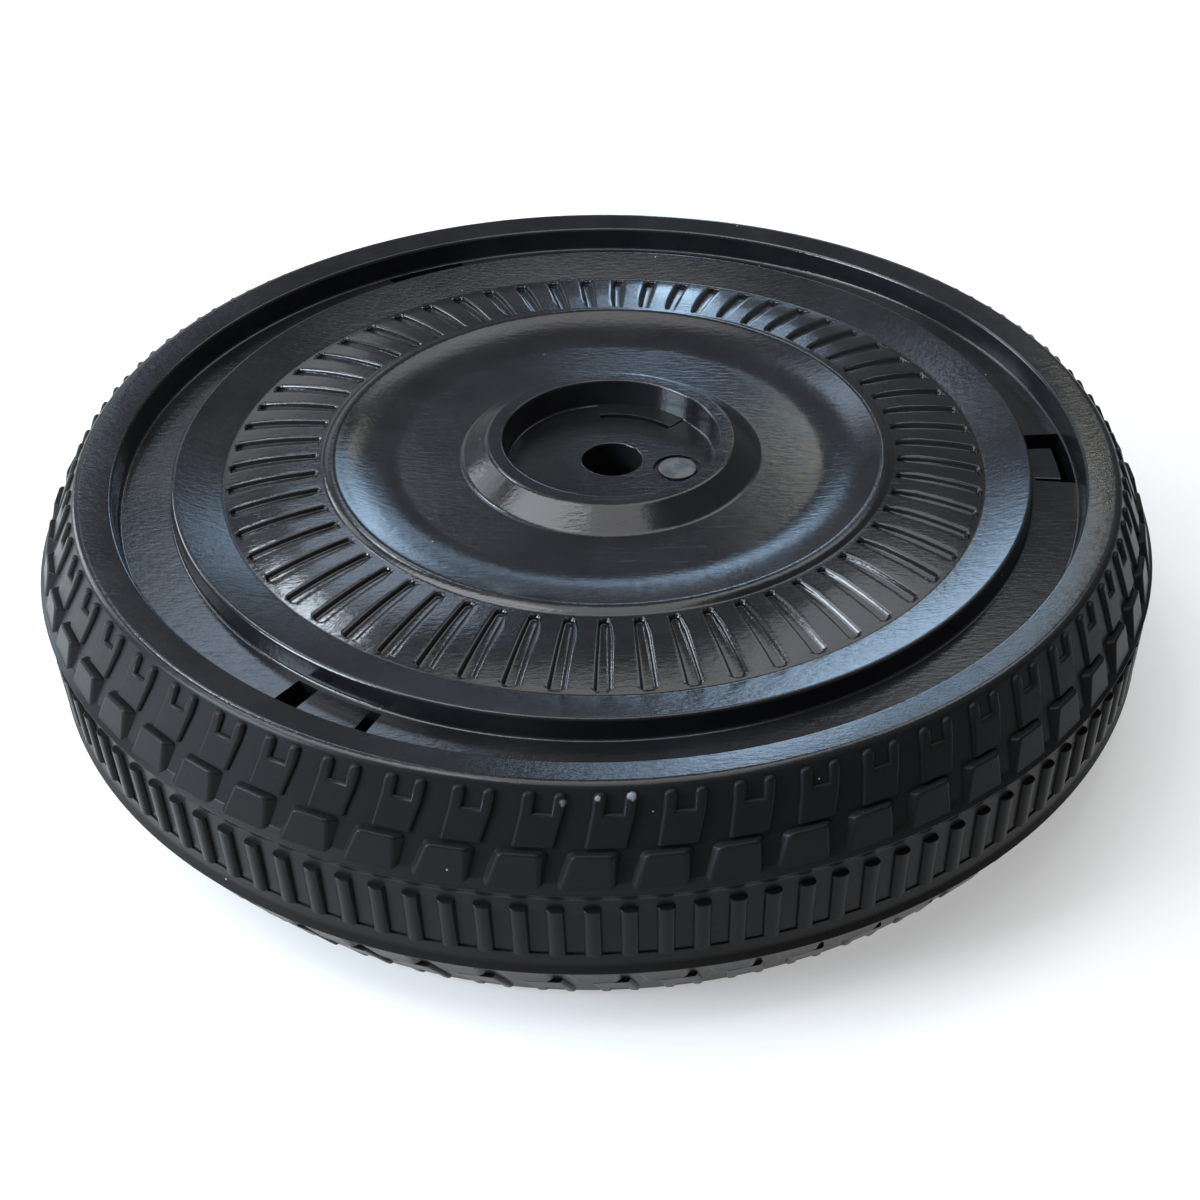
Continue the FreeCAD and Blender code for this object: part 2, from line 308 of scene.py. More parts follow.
pick(front, "FACE", slot_floor)
pull((0, 0, -slot_depth * mm))
corners = pick(front, "EDGE", slot_corner)
round_edges(slot_end_round, slot_end_steps)
pick(front, "FACE", slot_floor)
bpy.ops.transform.resize(value=(slot_floor_share, 1, 1),
                         center_override=place(0.0, 0.0, 0.0, slot_floor_centre))
print("slot corners", corners)

# %% [markdown]
# Rim and floor edges are softened with bevels. On the real face these soft edges catch the light as pairs
# of thin lines, which a sharp edge could never do, because it has no width to mirror anything.

# %% Soft edges of the slot
slot_rim_round = 0.5
slot_rim_steps = 3
slot_floor_round = 0.38
slot_floor_steps = 2
wall_limit = 0.6
wall_drop = 0.1


def slot_rim(edge):
    """Edge between the band and a wall of the slot."""
    middle = (edge.verts[0].co + edge.verts[1].co) / 2
    if len(edge.link_faces) != 2 or not in_slot(middle):
        return False
    wall, top = sorted(edge.link_faces, key=lambda face: face.normal.z)
    falls = wall.calc_center_median().z < middle.z - wall_drop * mm
    return wall.normal.z < wall_limit < top.normal.z and falls


def slot_foot(edge):
    """Edge between the floor and a wall of the slot."""
    floors = [slot_floor(face) for face in edge.link_faces]
    return floors.count(True) == 1 and min(face.normal.z for face in edge.link_faces) < wall_limit


feet = pick(front, "EDGE", slot_foot)
round_edges(slot_floor_round, slot_floor_steps)
rims = pick(front, "EDGE", slot_rim)
round_edges(slot_rim_round, slot_rim_steps)
print("rim edges", rims, "floor edges", feet)

# %% [markdown]
# Sixty copies of the step make the whole moulding. Spin can copy a mesh as well as turn it, and the copies
# touch along their sides, so merging the doubles closes them into one skin. An array modifier would need a
# turned empty beside it.

# %% Sixty steps make the whole moulding
slot_phase = 4.2


def close_up(piece):
    """Merges doubles, turns every face outwards and leaves edit mode."""
    bpy.ops.mesh.select_mode(type="VERT")
    bpy.ops.mesh.select_all(action="SELECT")
    bpy.ops.mesh.remove_doubles(threshold=same_place)
    bpy.ops.mesh.normals_make_consistent(inside=False)
    bpy.ops.object.mode_set(mode="OBJECT")
    return piece


def copies_round(count):
    """Copies all of the mesh evenly round the axle, inside the same mesh."""
    bpy.ops.mesh.select_mode(type="VERT")
    bpy.ops.mesh.select_all(action="SELECT")
    bpy.ops.mesh.spin(steps=count - 1, dupli=True, angle=math.tau * (count - 1) / count, **axle)


def sixty_round(piece, angle):
    """Turns a mesh to its angle and copies it into all sixty steps."""
    bpy.ops.object.mode_set(mode="OBJECT")
    piece.rotation_euler.z = math.radians(angle)
    bpy.ops.object.transform_apply(rotation=True)
    bpy.ops.object.mode_set(mode="EDIT")
    copies_round(pitch_count)
    return close_up(piece)


def faces_in(piece):
    """Face and triangle counts, for the printed notes."""
    mesh = piece.data
    mesh.calc_loop_triangles()
    return "%d faces, %d triangles" % (len(mesh.polygons), len(mesh.loop_triangles))


sixty_round(front, slot_phase)
print("front body", faces_in(front))

# %% [markdown]
# The shoulder of the tread carries a lug and a block in every step, and the middle panel two ribs. Each lug
# and block is drawn once on the plane of its top face, thickened down into the shoulder, rounded, and
# copied round the wheel. A union then melts the copies into the body, because on the real wheel they are
# one moulding.

# %% Pads of the tread
shoulder_slope = (shoulder_foot_radius - lip_edge_radius) / (lip_edge_z - shoulder_foot_z)
pad_root = 0.7
draft_centre = -1.0


def shoulder_radius(z):
    """Radius of the bare shoulder at a height."""
    return lip_edge_radius + shoulder_slope * (lip_edge_z - z)


def fill():
    """Fills the closed line with a face."""
    bpy.ops.mesh.select_all(action="SELECT")
    bpy.ops.mesh.edge_face_add()


def pad_on_shoulder(name, outline, top, foot, prongs=(), spread=1.0):
    """Pad at angle 0 with a plane top face through two (height, rise) levels.
    The outline holds (sideways, height). Each prong is (first corner, second corner, sideways lean):
    that edge is drawn out to the top. The walls lean out by the spread, as a mould needs them to."""
    (top_z, top_rise), (foot_z, foot_rise) = top, foot
    top_radius = shoulder_radius(top_z) + top_rise
    slope = (shoulder_radius(foot_z) + foot_rise - top_radius) / (top_z - foot_z)

    def on_top(side, z):
        return place(top_radius + slope * (top_z - z), 0.0, z, side)

    points = [on_top(side, z) for side, z in outline]
    outward = place(1.0, 0.0, slope).normalized()
    pad = start_line(name, points[0])
    draw(pad, points)
    fill()
    tips = []
    for first, second, lean in prongs:
        ends = points[first], points[second]
        pick(pad, "EDGE", lambda e: all(any(near(v.co, p) for p in ends) for v in e.verts))
        side, z = outline[first]
        reach = on_top(side + lean, top_z) - on_top(side, z)
        pull(reach)
        tips += [p + reach for p in ends]
    depth = (max(top_rise, foot_rise) + pad_root) * mm
    bpy.ops.mesh.select_mode(type="FACE")
    bpy.ops.mesh.select_all(action="SELECT")
    pull(outward * -depth)
    bpy.ops.transform.resize(value=(spread, 1, 1), center_override=place(0.0, 0.0, 0.0, draft_centre))
    face_outwards()
    return pad, points + tips, outward


print("shoulder runs outwards by", round(shoulder_slope, 3), "mm for each millimetre down")

# %% Soft edges of a pad, and its union with the body
pad_corner_steps = 2
pad_top_steps = 3
upright_limit = 0.5
top_limit = 0.98
side_limit = 0.8


def soften_corners(pad, points, outward, reach):
    """Rounds the upright edges of a pad under the given outline points."""
    def upright(edge):
        ends = [v.co for v in edge.verts]
        along = abs((ends[1] - ends[0]).normalized().dot(outward))
        return along > upright_limit and any(near(p, e) for p in points for e in ends)
    pick(pad, "EDGE", upright)
    round_edges(reach, pad_corner_steps)


def soften_top(pad, outward, reach, sharp_below):
    """Rounds the edges of a pad's top face, except those below a height."""
    def rim(edge):
        if len(edge.link_faces) != 2 or all(v.co.z < sharp_below * mm for v in edge.verts):
            return False
        side, top = sorted(face.normal.dot(outward) for face in edge.link_faces)
        return top > top_limit and abs(side) < side_limit
    pick(pad, "EDGE", rim)
    round_edges(reach, pad_top_steps)


def make_active(piece):
    """Leaves one piece selected and active."""
    bpy.ops.object.select_all(action="DESELECT")
    piece.select_set(True)
    bpy.context.view_layer.objects.active = piece


def cut_or_join(piece, tool, operation):
    """Applies a boolean with a tool mesh, and removes the tool."""
    make_active(piece)
    change = piece.modifiers.new("shape", "BOOLEAN")
    change.operation = operation
    change.solver = "MANIFOLD"
    change.object = tool
    bpy.ops.object.modifier_apply(modifier=change.name)
    bpy.data.meshes.remove(tool.data)


print("a pad's top edges are rounded in", pad_top_steps, "steps")

# %% [markdown]
# A lug is a low tooth under the lip with two prongs that reach up to it. Its lower part is drawn as one
# outline, and the prongs are two of its edges drawn out, so that the notch between them stays open.

# %% Lug with two prongs
lug_phase = 5.05
lug_top_z = 24.4
lug_foot_z = 16.3
lug_rise = 0.85
lug_foot_rise = 0.7
lug_edge_round = 0.65
lug_foot_band = 0.4
prong_tip_round = 0.8
notch_z = 21.3
lug_outline = [(-3.95, lug_foot_z), (2.8, lug_foot_z), (4.15, notch_z), (2.15, notch_z),
               (-0.55, notch_z), (-2.75, notch_z)]
lug_prongs = [(2, 3, 0.45), (4, 5, 0.4)]


def make_lugs(name, rise):
    """Sixty lugs under the lip, in one mesh."""
    lug, points, outward = pad_on_shoulder(name, lug_outline, (lug_top_z, rise),
                                           (lug_foot_z, lug_foot_rise), prongs=lug_prongs)
    soften_corners(lug, points[len(lug_outline):], outward, prong_tip_round)
    soften_top(lug, outward, lug_edge_round, lug_foot_z + lug_foot_band)
    return sixty_round(close_up(lug), lug_phase)


lugs = make_lugs("lugs", lug_rise)
print("lugs", faces_in(lugs))
cut_or_join(front, lugs, "UNION")

# %% [markdown]
# A four-sided block stands between the lugs' feet and the ridge. It is a pad like the lug, but without
# prongs, and its side walls lean out, so that it looks like a cut stone.

# %% Block above the ridge
block_phase = 3.78
block_top_z = 15.9
block_foot_z = 9.85
block_rise = 1.8
block_foot_rise = 0.6
block_spread = 1.5
block_corner_round = 0.7
block_edge_round = 0.5
block_foot_band = 0.6
block_outline = [(-3.2, block_top_z), (3.0, block_top_z), (3.0, block_foot_z), (-5.5, block_foot_z)]


def make_blocks(name, rise):
    """Sixty four-sided blocks, in one mesh."""
    block, points, outward = pad_on_shoulder(name, block_outline, (block_top_z, rise),
                                             (block_foot_z, block_foot_rise), spread=block_spread)
    soften_corners(block, points[:2], outward, block_corner_round)
    soften_top(block, outward, block_edge_round, block_foot_z + block_foot_band)
    return sixty_round(close_up(block), block_phase)


blocks = make_blocks("blocks", block_rise)
print("blocks", faces_in(blocks))
cut_or_join(front, blocks, "UNION")

# %% [markdown]
# Low half-round ribs stand side by side on the panel below the ridge. A rib is the same along its whole
# height, so its section is drawn once, with its foot inside the panel, and pulled up from the seam.

# %% Low half-round rib
rib_phase = 3.55
rib_count = 2 * pitch_count
rib_top_z = 5.4
rib_seam_round = 0.35
rib_seam_steps = 2
rib_top_round = 0.1
rib_top_steps = 1
same_level = 0.001
# Each corner of the section is a place sideways and a rise above the panel.
rib_section = [(-1.55, -0.6), (-1.52, 0.15), (-1.3, 0.62), (-0.75, 0.95), (0.0, 1.07),
               (0.7, 1.02), (1.2, 0.78), (1.45, 0.3), (1.5, -0.6)]


def prism(name, corners, height):
    """Closed outline, filled and pulled up or down. It stays in edit mode, with its far end selected."""
    piece = start_line(name, corners[0])
    draw(piece, corners)
    fill()
    pull((0, 0, height * mm))
    return piece


def rib_end(z):
    """Test for the edges round one end of the rib, above the panel."""
    def test(edge):
        flat = all(abs(v.co.z - z * mm) < same_level * mm for v in edge.verts)
        return flat and any(radius_of(v.co) > panel_radius for v in edge.verts)
    return test


section = [place(panel_radius + rise, rib_phase, seam_z, side) for side, rise in rib_section]
ribs = prism("ribs", section, rib_top_z - seam_z)
face_outwards()
pick(ribs, "EDGE", rib_end(seam_z))
round_edges(rib_seam_round, rib_seam_steps)
pick(ribs, "EDGE", rib_end(rib_top_z))
round_edges(rib_top_round, rib_top_steps)
copies_round(rib_count)
close_up(ribs)
print("ribs", faces_in(ribs))
cut_or_join(front, ribs, "UNION")
print("front with tread", faces_in(front))

# %% [markdown]
# A cover clips into three windows in the floor of the channel. A tongue stands in each window, a little
# below the floor, for the cover's hook to grip. Both are blocks of a ring: a short line, spun through a few
# degrees, and cut or joined. A plain box would not follow the curve of the channel.

# %% Blocks of a ring
crisp_angle = 0.8
ring_round_steps = 2


def join(parts):
    """Joins meshes into the first of them."""
    bpy.ops.object.select_all(action="DESELECT")
    for part in parts:
        part.select_set(True)
    bpy.context.view_layer.objects.active = parts[0]
    bpy.ops.object.join()
    return parts[0]


def ring_blocks(name, outline, middles, sweep, steps, soften=0.0):
    """Blocks of a ring with an outline of (radius, height) corners, one at each middle angle."""
    parts = []
    for middle in middles:
        points = [place(radius, middle - sweep / 2, z) for radius, z in outline]
        part = start_line(name, points[0])
        draw(part, points)
        fill()
        bpy.ops.mesh.select_all(action="SELECT")
        bpy.ops.mesh.spin(steps=steps, angle=math.radians(sweep), **axle)
        close_up(part)
        if soften:
            bpy.ops.object.mode_set(mode="EDIT")
            pick(part, "EDGE", lambda e: len(e.link_faces) == 2 and e.calc_face_angle() > crisp_angle)
            round_edges(soften, ring_round_steps)
            bpy.ops.object.mode_set(mode="OBJECT")
        parts.append(part)
    return join(parts)


def box_outline(inner, outer, low, high):
    """Corners of an upright rectangle in (radius, height)."""
    return [(inner, low), (outer, low), (outer, high), (inner, high)]


# %% Cover windows and their tongues
first_window_angle = -32.2
window_angles = [first_window_angle + 120.0 * k for k in range(3)]
window_inner_radius = 88.3
window_outer_radius = 96.6
window_sweep = 11.4
window_steps = 6
window_cut = (12.0, 20.0)
tongue_drop = 1.4
tongue_thickness = 2.4
tongue_root = 1.5
tongue_length = 6.0
tongue_sweep = 7.4
tongue_steps = 4
tongue_round = 0.25

window_outline = box_outline(window_inner_radius, window_outer_radius, *window_cut)
windows = ring_blocks("windows", window_outline, window_angles, window_sweep, window_steps)
cut_or_join(front, windows, "DIFFERENCE")
tongue_top_z = channel_floor_z - tongue_drop
tongue_outline = box_outline(window_inner_radius - tongue_root, window_inner_radius + tongue_length,
                             tongue_top_z - tongue_thickness, tongue_top_z)
tongues = ring_blocks("tongues", tongue_outline, window_angles, tongue_sweep, tongue_steps, tongue_round)
cut_or_join(front, tongues, "UNION")
print("after windows", faces_in(front))

# %% [markdown]
# The hub well has two curved slots for a cap, each with a low catch outside it. They show as dark arcs on
# the floor of the well. They too are blocks of a ring.

# %% Catches of the hub well
catch_middles = (-19.0, 161.0)
catch_sweep = 54.0
catch_steps = 12
catch_slot_radii = (16.5, 17.5)
catch_slot_cut = (12.0, 19.0)
catch_radii = (17.5, 22.0)
catch_heights = (16.6, 17.9)
catch_round = 0.2

catch_slot_outline = box_outline(*catch_slot_radii, *catch_slot_cut)
catch_slots = ring_blocks("catch_slots", catch_slot_outline, catch_middles, catch_sweep, catch_steps)
cut_or_join(front, catch_slots, "DIFFERENCE")
catch_outline = box_outline(*catch_radii, *catch_heights)
catches = ring_blocks("catches", catch_outline, catch_middles, catch_sweep, catch_steps, catch_round)
cut_or_join(front, catches, "UNION")
print("after catches", faces_in(front))

# %% [markdown]
# The plastic was injected through a gate in the well floor. Its stub was nipped off and left a pale, rough
# disc in a shallow round dimple. A painted spot would look flat from the side, so both are modelled.

# %% Gate mark
gate_radius = 14.0
gate_angle = 74.0
gate_place = place(gate_radius, gate_angle, well_floor_z)
gate_sides = 40
dimple_radius = 5.0
dimple_height = 1.0
stub_radius = 4.1
stub_height = 1.6
stub_round = 0.45
stub_round_steps = 2
stub_sink = 0.6


def upright_cylinder(name, radius, height, middle, sides):
    """Cylinder round an upright axis, with its middle at a place."""
    bpy.ops.object.select_all(action="DESELECT")
    bpy.ops.mesh.primitive_cylinder_add(vertices=sides, radius=radius * mm, depth=height * mm,
                                        location=middle)
    bpy.ops.object.transform_apply(location=True)
    piece = bpy.context.object
    piece.name = name
    return piece


dimple = upright_cylinder("dimple", dimple_radius, dimple_height, gate_place, gate_sides)
cut_or_join(front, dimple, "DIFFERENCE")
stub = upright_cylinder("stub", stub_radius, stub_height, gate_place, gate_sides)
bpy.ops.object.mode_set(mode="EDIT")
pick(stub, "EDGE", lambda e: all(v.co.z > gate_place.z for v in e.verts))
round_edges(stub_round, stub_round_steps)
bpy.ops.object.mode_set(mode="OBJECT")
make_active(stub)
bpy.ops.transform.translate(value=(0, 0, -stub_sink * mm))
bpy.ops.object.transform_apply(location=True)
cut_or_join(front, stub, "UNION")
print("after gate", faces_in(front))

# %% [markdown]
# The rear moulding closes the wheel from behind: a spigot that plugs into the front barrel, the rear
# shoulder with the same lugs and blocks, and a plain recessed face with six stiffening ribs and a boss for
# the axle. The photograph doesn't show this side, so it stays plain. It has no slots, so its outline is
# spun in one go.

# %% Outline of the rear moulding
rear_face_z = -16.0
rear_inner_z = -13.0
rear_boss_z = -22.0
rear_panel_radius = 112.3
rear_wall_radius = 103.1
spigot_radius = 106.25
spigot_top_z = 0.8
hub_socket_radius = 10.15
rear_spin_steps = 240

# Each corner is a radius, a height and the reach of its rounding.
rear_outline = [
    # Spigot, and the seam with the front moulding
    (rear_wall_radius, spigot_top_z, 0.0), (spigot_radius, spigot_top_z, 0.3),
    (spigot_radius, seam_z, 0.0), (rear_panel_radius, seam_z, 0.12),
    # Ridge, shoulder and rear lip
    (rear_panel_radius, -7.9, 0.4), (tread_radius, -9.4, 0.2),
    (shoulder_foot_radius, -shoulder_foot_z, 0.2), (104.0, -lip_z, 0.7), (97.8, -lip_z, 0.7),
    # Recessed face and boss
    (97.6, rear_face_z, 0.6), (17.8, rear_face_z, 0.8), (17.0, rear_boss_z, 0.6),
    # Bore, socket of the hub tube, and the inside
    (bore_radius, rear_boss_z, 0.4), (bore_radius, hub_end_z, 0.0), (hub_socket_radius, hub_end_z, 0.0),
    (hub_socket_radius, rear_inner_z, 0.0), (rear_wall_radius, rear_inner_z, 0.0),
]
rear = turned_outline("rear_moulding", rear_outline, 0.0)
bpy.ops.mesh.spin(steps=rear_spin_steps, angle=math.tau, **axle)
close_up(rear)
print("rear body", faces_in(rear))

# %% Rear lugs and blocks
rear_lug_rise = 0.12
rear_block_rise = 0.9


def mirrored(piece):
    """Turns a mesh over to the other side of the wheel's middle plane."""
    make_active(piece)
    bpy.ops.object.mode_set(mode="EDIT")
    bpy.ops.mesh.select_all(action="SELECT")
    bpy.ops.transform.resize(value=(1, 1, -1), center_override=(0, 0, 0))
    return close_up(piece)


cut_or_join(rear, mirrored(make_lugs("rear_lugs", rear_lug_rise)), "UNION")
cut_or_join(rear, mirrored(make_blocks("rear_blocks", rear_block_rise)), "UNION")
print("rear with tread", faces_in(rear))

# %% [markdown]
# Six ribs run from the boss to the rear lip and stiffen the face. Each is a rectangle pulled up into the
# face, with its long outer edges rounded. Its ends reach into the boss and the lip, so that no gap is left.

# %% Stiffening ribs of the rear face
first_bar_angle = 27.6
bar_angles = [first_bar_angle + 60.0 * k for k in range(6)]
bar_inner_radius = 16.4
bar_outer_radius = 98.4
bar_half_width = 1.5
bar_height = 4.5
bar_root = 0.6
bar_edge_round = 0.6
bar_edge_steps = 2
long_edge = 50.0
bar_outline = [(bar_inner_radius, -bar_half_width), (bar_outer_radius, -bar_half_width),
               (bar_outer_radius, bar_half_width), (bar_inner_radius, bar_half_width)]


def long_outer_edge(edge):
    """Long edge of a bar that stands clear of the face."""
    clear = all(v.co.z < rear_face_z * mm for v in edge.verts)
    return clear and edge.calc_length() > long_edge * mm


for angle in bar_angles:
    corners = [place(radius, angle, rear_face_z - bar_height, side) for radius, side in bar_outline]
    bar = prism("rear_bar", corners, bar_height + bar_root)
    pick(bar, "EDGE", long_outer_edge)
    round_edges(bar_edge_round, bar_edge_steps)
    close_up(bar)
    cut_or_join(rear, bar, "UNION")
print("rear with ribs", faces_in(rear))

# %% [markdown]
# Three self-tapping screws hold the mouldings together. Each sits in a square boss under the face, which
# has a narrow pilot hole for the thread, and passes through a wider hole in the rear moulding.

# %% Bosses and holes for the screws
screw_circle_radius = 91.6
first_screw_angle = -2.4
screw_angles = [first_screw_angle + 120.0 * k for k in range(3)]
boss_half_width = 4.2
boss_root = 1.0
pilot_radius = 1.65
pilot_sides = 24
pilot_low_z = rear_inner_z - 3.0
pilot_high_z = rear_face_z + 18.5
passage_radius = 2.1
passage_sides = 32
passage_low_z = rear_face_z - 3.0
passage_high_z = rear_inner_z + 1.5


def rectangle_at_screw(angle, z, radial, sideways):
    """Corners of a rectangle round a screw's place, from its half widths."""
    return [place(screw_circle_radius + a * radial, angle, z, b * sideways)
            for a, b in ((-1, -1), (1, -1), (1, 1), (-1, 1))]


def cylinder_at_screw(name, radius, low, high, angle, sides):
    """Cylinder at a screw's place, between two heights."""
    middle = place(screw_circle_radius, angle, (low + high) / 2)
    return upright_cylinder(name, radius, high - low, middle, sides)


for angle in screw_angles:
    boss_top = rectangle_at_screw(angle, face_underside_z + boss_root, boss_half_width, boss_half_width)
    boss = close_up(prism("screw_boss", boss_top, rear_inner_z - face_underside_z - boss_root))
    cut_or_join(front, boss, "UNION")
    pilot = cylinder_at_screw("pilot", pilot_radius, pilot_low_z, pilot_high_z, angle, pilot_sides)
    cut_or_join(front, pilot, "DIFFERENCE")
    passage = cylinder_at_screw("passage", passage_radius, passage_low_z, passage_high_z, angle,
                                passage_sides)
    cut_or_join(rear, passage, "DIFFERENCE")
print("front", faces_in(front), "and rear", faces_in(rear))

# %% [markdown]
# A screw starts as a flat cylinder, its head. The lower rim is rounded into a dome, and the upper face is
# inset and pulled up twice, into the shank and its tip. Two tapered bars then cut the cross recess.

# %% Cross-head screws
head_radius = 3.8
head_height = 2.4
head_sides = 40
head_round = 1.2
head_round_steps = 4
flat_up = 0.9
shank_inset = 2.2
shank_length = 15.5
tip_length = 1.5
tip_share = 0.25
recess_long = 2.3
recess_short = 0.45
recess_start = 3.0
recess_height = 2.2
recess_taper = 0.45


def cross_head_screw(angle):
    """One screw, with its head under the rear face."""
    screw = cylinder_at_screw("screw", head_radius, rear_face_z - head_height, rear_face_z, angle,
                              head_sides)
    centre = place(screw_circle_radius, angle, rear_face_z)
    bpy.ops.object.mode_set(mode="EDIT")
    pick(screw, "EDGE", lambda e: all(v.co.z < (rear_face_z - head_height / 2) * mm for v in e.verts))
    round_edges(head_round, head_round_steps)
    pick(screw, "FACE", lambda f: f.normal.z > flat_up)
    bpy.ops.mesh.inset(thickness=shank_inset * mm)
    pull((0, 0, shank_length * mm))
    pull((0, 0, tip_length * mm))
    bpy.ops.transform.resize(value=(tip_share, tip_share, 1), center_override=centre)
    close_up(screw)
    for radial, sideways in ((recess_long, recess_short), (recess_short, recess_long)):
        corners = rectangle_at_screw(angle, rear_face_z - recess_start, radial, sideways)
        recess = prism("recess", corners, recess_height)
        bpy.ops.transform.resize(value=(recess_taper, recess_taper, 1), center_override=centre)
        close_up(recess)
        cut_or_join(screw, recess, "DIFFERENCE")
    return screw


screws = join([cross_head_screw(angle) for angle in screw_angles])
screws.name = screws.data.name = "cross_head_screws"
print("screws", faces_in(screws))

# %% [markdown]
# Smooth shading is kept only across edges that turn by less than 35 degrees, so the rounded forms look
# smooth and the crisp steps stay crisp. Where a small rounding meets a large flat face, the large face sets
# the normals, so that the flat lip and ring mirror the room as flat faces do.

# %% Smooth shading
smooth_angle = 35
large_face_weight = 80
for piece in (front, rear, screws):
    make_active(piece)
    bpy.ops.object.shade_smooth_by_angle(angle=math.radians(smooth_angle))
    shading = piece.modifiers.new("flat_faces_lead", "WEIGHTED_NORMAL")
    shading.weight = large_face_weight
    shading.keep_sharp = True
    bpy.ops.object.modifier_apply(modifier=shading.name)
    print(piece.name, faces_in(piece), [round(v, 4) for v in piece.dimensions])

# %% [markdown]
# Shader maths is written as plain expressions. A small class holds a socket, and adding or multiplying two
# of them adds the Math node that does it. Linking the nodes one by one would take many more lines.

# %% A socket that can be used in sums


class Amount:
    """A value on the surface, held as a socket of one finish."""

    def __init__(self, finish, socket):
        self.finish = finish
        self.socket = socket

    def maths(self, operation, a, b):
        """Adds a Math node for two values."""
        return self.finish.node("ShaderNodeMath", {"operation": operation}, {0: a, 1: b})

    def __add__(self, other):
        return self.maths("ADD", self, other)

    def __radd__(self, other):
        return self.maths("ADD", other, self)

    def __sub__(self, other):
        return self.maths("SUBTRACT", self, other)

    def __rsub__(self, other):
        return self.maths("SUBTRACT", other, self)

    def __mul__(self, other):
        return self.maths("MULTIPLY", self, other)

    def __rmul__(self, other):
        return self.maths("MULTIPLY", other, self)

    def __pow__(self, other):
        return self.maths("POWER", self, other)

    def __rpow__(self, other):
        return self.maths("POWER", other, self)

    def step(self, low, high):
        """Rises smoothly from 0 at low to 1 at high."""
        return self.finish.node("ShaderNodeMapRange", {"interpolation_type": "SMOOTHSTEP"},
                                {"Value": self, "From Min": low, "From Max": high})


# %% Nodes of one finish


class Finish:
    """The nodes of a material, or of the room around the wheel."""

    def __init__(self, owner):
        owner.use_nodes = True
        self.owner = owner
        self.tree = owner.node_tree
        self.tree.nodes.clear()

    def node(self, kind, settings=None, sockets=None, out=0):
        """Adds a node: its settings first, then the values or links of its sockets."""
        made = self.tree.nodes.new(kind)
        for key, value in (settings or {}).items():
            setattr(made, key, value)
        for key, value in (sockets or {}).items():
            if isinstance(value, Amount):
                self.tree.links.new(value.socket, made.inputs[key])
            else:
                made.inputs[key].default_value = value
        return Amount(self, made.outputs[out]) if made.outputs else None

    def blend(self, share, a, b):
        """Colour that goes from a to b."""
        return self.node("ShaderNodeMix", {"data_type": "RGBA"}, {0: share, 6: a, 7: b}, out=2)

    def noise(self, where, scale, detail=2.0, roughness=0.5):
        """Soft grain between 0 and 1."""
        return self.node("ShaderNodeTexNoise", None,
                         {"Vector": where, "Scale": scale, "Detail": detail, "Roughness": roughness})

    def drawn_out(self, where, angle, squeeze):
        """Place turned by an angle and squeezed sideways, which draws a pattern out into streaks."""
        turn = (0, 0, math.radians(angle))
        return self.node("ShaderNodeMapping", None,
                         {"Vector": where, "Rotation": turn, "Scale": (squeeze, 1.0, 1.0)})

    def distance(self, where, point):
        """Distance from a fixed point, in metres."""
        return self.node("ShaderNodeVectorMath", {"operation": "DISTANCE"}, {0: where, 1: point},
                         out="Value")


# %% [markdown]
# The plastic is black polypropylene. The face came from a polished mould and shines, while the tread came
# from a spark-eroded one and is duller, so two shaders are mixed by the radius. Both have a very fine
# grain, drawn out a little sideways, which breaks each highlight up into streaks, as on the real wheel.

# %% Grain of the black plastic
face_end_radius = 103.4
tread_start_radius = 104.6
grain_scale = 1300.0
plastic = Finish(bpy.data.materials.new("black_plastic"))
where = plastic.node("ShaderNodeTexCoord", out="Object")
x, y, z = [plastic.node("ShaderNodeSeparateXYZ", None, {0: where}, out=axis) for axis in range(3)]
radius = (x * x + y * y) ** 0.5
on_tread = radius.step(face_end_radius * mm, tread_start_radius * mm)
grain_way = plastic.drawn_out(where, angle=12, squeeze=0.35)
grain = plastic.noise(grain_way, grain_scale, detail=3.0, roughness=0.65)
mottle = plastic.noise(where, 420.0, detail=3.0, roughness=0.6)
cloud = plastic.noise(where, 60.0, detail=4.0, roughness=0.6)
hairline_way = plastic.drawn_out(where, angle=-14, squeeze=0.03)
hairlines = plastic.noise(hairline_way, 1800.0, detail=2.0, roughness=0.7).step(0.58, 0.72)
print("grain of about", round(1 / (grain_scale * mm), 2), "mm")

# %% [markdown]
# Use has left a few pale marks: specks of dust, three prong tips that are torn, and the rough disc of the
# gate. Each torn tip is a mask, a distance from its place that noise makes uneven. The dust is the middles
# of scattered cells, of which only about a quarter are used.

# %% Dust, torn tips and the gate mark
speck_sockets = {"Vector": where, "Scale": 150.0}
speck = plastic.node("ShaderNodeTexVoronoi", {"feature": "F1"}, speck_sockets, out="Distance")
speck_draw = plastic.node("ShaderNodeTexVoronoi", {"feature": "F1"}, speck_sockets, out="Color")
speck_chance = plastic.node("ShaderNodeSeparateColor", None, {0: speck_draw})
dust = (1.0 - speck.step(0.015, 0.035)) * speck_chance.step(0.72, 0.74)

# Each torn tip is an angle, a height and a size.
torn_tips = ((-4.6, 22.9, 0.8), (1.05, 23.8, 0.95), (-1.9, 23.7, 0.55))
torn_rise = 0.8
torn_core_share = 0.55
torn_unevenness = 1.6
torn = 0.0
for tip_angle, tip_z, tip_size in torn_tips:
    tip = place(shoulder_radius(tip_z) + torn_rise, tip_angle, tip_z)
    reach = plastic.distance(where, tip) + (mottle - 0.5) * (torn_unevenness * mm)
    torn = torn + (1.0 - reach.step(torn_core_share * tip_size * mm, tip_size * mm))

gate_core_radius = 3.8
gate = 1.0 - plastic.distance(where, gate_place).step(gate_core_radius * mm, stub_radius * mm)
print(len(torn_tips), "torn tips and the gate mark placed")

